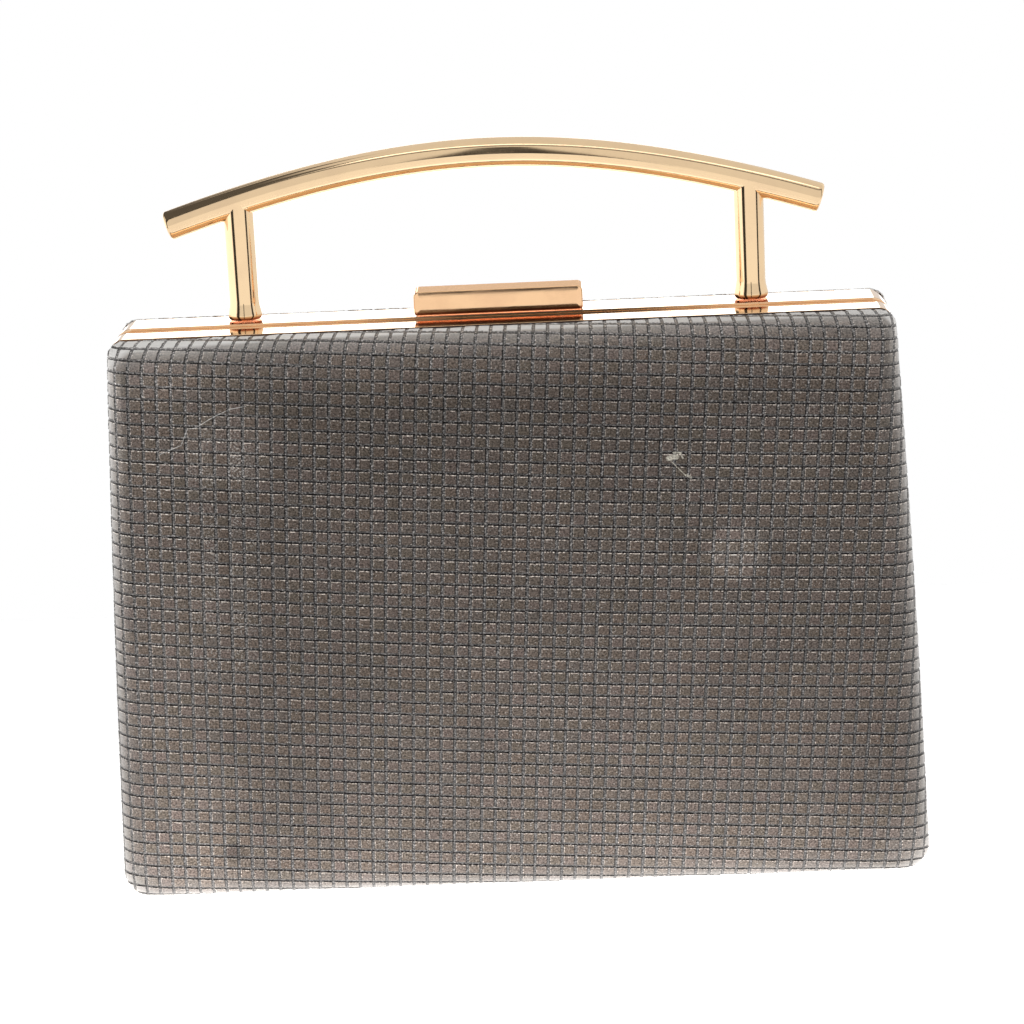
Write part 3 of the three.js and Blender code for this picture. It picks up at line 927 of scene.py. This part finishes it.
def make_rim(name, body, material, seam):
    """A band with softly rounded outer edges, cleared along the bottom for the hinge rod."""
    half = HALVES[body]
    parting = FIT_GAP / 2
    section = [(inset, half["depth"] - back) for inset, back in quarter(LIP_ROUND)]
    section += [(RIM_WALL, half["depth"]), (RIM_WALL, parting)]
    section += [(inset, parting + ahead) for inset, ahead in reversed(quarter(PARTING_ROUND))]
    rings = [rim_ring(half, inset, depth) for inset, depth in section]
    rim = turn_outwards(add_object(name, *loft(rings, closed=True), material))
    # The flat front face inside the lip takes the painted shade of the gap between sheet and rim
    rim.data.materials.append(seam)
    end_face = section.index((RIM_WALL, half["depth"])) - 1
    count = len(rings[0])
    for polygon in rim.data.polygons[end_face * count : (end_face + 1) * count]:
        polygon.material_index = 1
    bpy.ops.mesh.primitive_cube_add(size=1)
    slot = bpy.context.object
    slot.scale = Vector((2 * BOTTOM_WIDTH, HINGE_SLOT["width"], 2 * HINGE_SLOT["height"])) * MM
    combine(rim, slot, "DIFFERENCE")
    shade_smooth(rim, angle=30)
    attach(rim, body)
    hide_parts(f"{body}_rim")


def bow_height(x):
    """Height of the bow's axis above the seat."""
    return BAR_RISE + BOW_WAIST - np.hypot(BOW_WAIST, BOW_SLOPE * x)


def circle(radius):
    """Points round a circle."""
    angles = np.linspace(0, 2 * math.pi, ROUND_SIDES, endpoint=False)
    return radius * np.stack((np.cos(angles), np.sin(angles)), -1)


def bar_mesh():
    """Rings along the bow, square to it, with slightly rounded ends."""
    radius = BAR_DIAMETER / 2
    end = BOW_CHORD / 2
    stations = [(-end + ahead, radius - inset) for inset, ahead in reversed(quarter(BAR_END_ROUND))]
    stations += [(x, radius) for x in np.linspace(-end, end, BAR_STEPS + 1)[1:-1]]
    stations += [(end - ahead, radius - inset) for inset, ahead in quarter(BAR_END_ROUND)]
    rings = []
    for x, size in stations:
        slope = -(BOW_SLOPE**2) * x / math.hypot(BOW_WAIST, BOW_SLOPE * x)
        upright = np.array((-slope, 0, 1)) / math.hypot(slope, 1)
        ring = circle(size)
        middle = np.array((x, 0, bow_height(x)))
        rings.append(middle + ring[:, :1] * np.array((0, 1, 0)) + ring[:, 1:] * upright)
    return loft(rings, closed=False)


def post_mesh(x):
    """A round post on a flared foot, up to the bar's axis."""
    heights = [row["height"] for row in FOOT_PROFILE] + [float(bow_height(x))]
    diameters = [row["diameter"] for row in FOOT_PROFILE] + [POST_DIAMETER]
    rings = []
    for height, diameter in zip(heights, diameters):
        ring = circle(diameter / 2)
        rings.append(np.stack((x + ring[:, 0], ring[:, 1], np.full(len(ring), height)), -1))
    return loft(rings, closed=False)


def make_handle(name, material):
    """The bow on its two posts, as one solid."""
    handle = turn_outwards(add_object(name, *bar_mesh(), material))
    for side in (-1, 1):
        post = turn_outwards(add_object("post", *post_mesh(side * POST_SPACING / 2), material))
        combine(handle, post, "UNION")
    handle.data.transform(Matrix.Translation(Vector((HANDLE_SHIFT, POST_SETBACK, SEAT_HEIGHT)) * MM))
    shade_smooth(handle, angle=35)
    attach(handle, "back")
    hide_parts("handle")


def clasp_section():
    """Insets and depths from the clasp's flat rear face, round its edges, to the crown of its front."""
    rear = CLASP_DEPTH - CLASP_OVERHANG
    steps = []
    for part in CLASP_FRONT:
        shares = (np.arange(CLASP_STEPS) + 0.5) / CLASP_STEPS
        angles = np.radians(part["from"] + (part["to"] - part["from"]) * shares)
        steps.append(part["length"] / CLASP_STEPS * np.stack((np.sin(angles), -np.cos(angles)), -1))
    front = np.concatenate(([(0, 0)], np.cumsum(np.concatenate(steps), axis=0)))
    front[:, 1] -= front[-1, 1] + CLASP_OVERHANG
    back = [(inset, rear - ahead) for inset, ahead in reversed(quarter(CLASP_EDGE))]
    return back + [tuple(point) for point in front]


def make_clasp(name, material):
    """A bar with rounded top corners and a softly crowned front face."""
    rings = []
    for inset, depth in clasp_section():
        half = CLASP_WIDTH / 2 - inset
        top = CLASP_HEIGHT - inset
        bottom_radius = max(CLASP_CORNERS["bottom"] - inset, CLASP_CORNERS["least"])
        top_radius = max(CLASP_CORNERS["top"] - inset, CLASP_CORNERS["least"])
        corners = [
            (-half, inset, bottom_radius),
            (half, inset, bottom_radius),
            (half, top, top_radius),
            (-half, top, top_radius),
        ]
        rings.append(at_depth(rounded_outline(corners, CLASP_CORNERS["steps"]), depth))
    points, faces = loft(rings, closed=False)
    fall = math.tan(CLASP_TILT) * (CLASP_DEPTH - CLASP_OVERHANG - points[:, 1])
    points[:, 2] += SEAT_HEIGHT - fall * points[:, 2] / CLASP_HEIGHT
    points[:, 0] += CLASP_SHIFT
    clasp = turn_outwards(add_object(name, points, faces, material))
    shade_smooth(clasp, angle=40)
    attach(clasp, "clasp")
    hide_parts("clasp_bar")


# Studio

def make_floor():
    """A pale floor that ends short of the camera and glows a little, most below the clutch."""
    left, right, front, back = (FLOOR[key] for key in ("left", "right", "front", "back"))
    corners = [(left, front, 0), (right, front, 0), (right, back, 0), (left, back, 0)]
    material, n = new_material("floor")
    place = n.add("ShaderNodeTexCoord").outputs["Object"]
    clouds = n.noise(place, scale=40.0, detail=3.0)
    paper = n.ramp(clouds, [(0.3, (0.84, 0.84, 0.84)), (0.7, (0.88, 0.88, 0.88))])
    start = FLOOR_GLOW["from"] * MM
    end = FLOOR_GLOW["to"] * MM
    far_off = n.vector("LENGTH", place)
    glow = n.span(far_off, start, end, FLOOR_GLOW["near"], FLOOR_GLOW["far"], smooth=True)
    finish_material(n, {
        "Base Color": paper,
        "Roughness": 0.9,
        "Emission Color": (1.0, 1.0, 1.0),
        "Emission Strength": glow,
    })
    floor = add_object("floor", corners, [(0, 1, 2, 3)], material)


def make_tent():
    """The world: a light tent round the clutch for what it lights and mirrors, and a plain backdrop."""
    world = bpy.data.worlds.new("tent")
    world.use_nodes = True
    bpy.context.scene.world = world
    n = Nodes(world.node_tree)
    way = n.add("ShaderNodeTexCoord").outputs["Generated"]
    x, y, z = n.parts(way)
    azimuth = n.math("DEGREES", n.math("ARCTAN2", x, n.math("MULTIPLY", y, -1.0)))
    elevation = n.math("DEGREES", n.math("ARCSINE", z))

    light = TENT_LIGHT
    for wall in TENT:
        across = n.band(azimuth, *wall["azimuth"], wall["blur"])
        upwards = n.band(elevation, *wall["elevation"], wall["blur"])
        light = n.between(n.product(across, upwards), light, wall["light"])
    seen = n.add("ShaderNodeLightPath").outputs["Is Camera Ray"]
    shown = n.between(seen, light, BACKDROP_LIGHT)
    background = n.add("ShaderNodeBackground", {"Color": (1.0, 1.0, 1.0), "Strength": shown})
    n.add("ShaderNodeOutputWorld", {"Surface": background.outputs[0]})


def make_camera():
    """The camera, turned about its axis by the roll."""
    back = Vector((
        math.sin(CAMERA_AZIMUTH) * math.cos(CAMERA_ELEVATION),
        -math.cos(CAMERA_AZIMUTH) * math.cos(CAMERA_ELEVATION),
        math.sin(CAMERA_ELEVATION),
    ))
    right = Vector((math.cos(CAMERA_AZIMUTH), math.sin(CAMERA_AZIMUTH), 0))
    up = back.cross(right)
    rolled_right = right * math.cos(CAMERA_ROLL) - up * math.sin(CAMERA_ROLL)
    rolled_up = right * math.sin(CAMERA_ROLL) + up * math.cos(CAMERA_ROLL)
    place = (Vector(AIM) + back * CAMERA_DISTANCE) * MM
    data = bpy.data.cameras.new("camera")
    data.sensor_width = SENSOR_WIDTH
    data.lens = SENSOR_WIDTH * FOCAL_PIXELS / FRAME_PIXELS
    camera = bpy.data.objects.new("camera", data)
    bpy.context.scene.collection.objects.link(camera)
    axes = Matrix((rolled_right, rolled_up, back)).transposed()
    camera.matrix_world = Matrix.Translation(place) @ axes.to_4x4()
    bpy.context.scene.camera = camera


def dress(node, material):
    """Gives a solid of the frame its material."""
    node_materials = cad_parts[node].data.materials
    node_materials.clear()
    node_materials.append(material)


sheet = embossed_sheet()
lining = satin_lining()
# Painted shade for the gap between sheet and rim
seam = rim_gap_shade()
golds = {name: gold(name, **row) for name, row in GOLDS.items()}

for half_name in HALVES:
    make_cover(f"{half_name}_cover", half_name, sheet)
    make_rim(f"{half_name}_rim_band", half_name, golds["rim_gold"], seam)
    dress(f"{half_name}_shell", lining)
make_handle("bow_handle", golds["handle_gold"])
make_clasp("crowned_clasp", golds["clasp_gold"])
dress("hinge_rod", golds["hinge_gold"])

make_floor()
make_tent()
make_camera()
bpy.context.scene.view_settings.view_transform = "Standard"
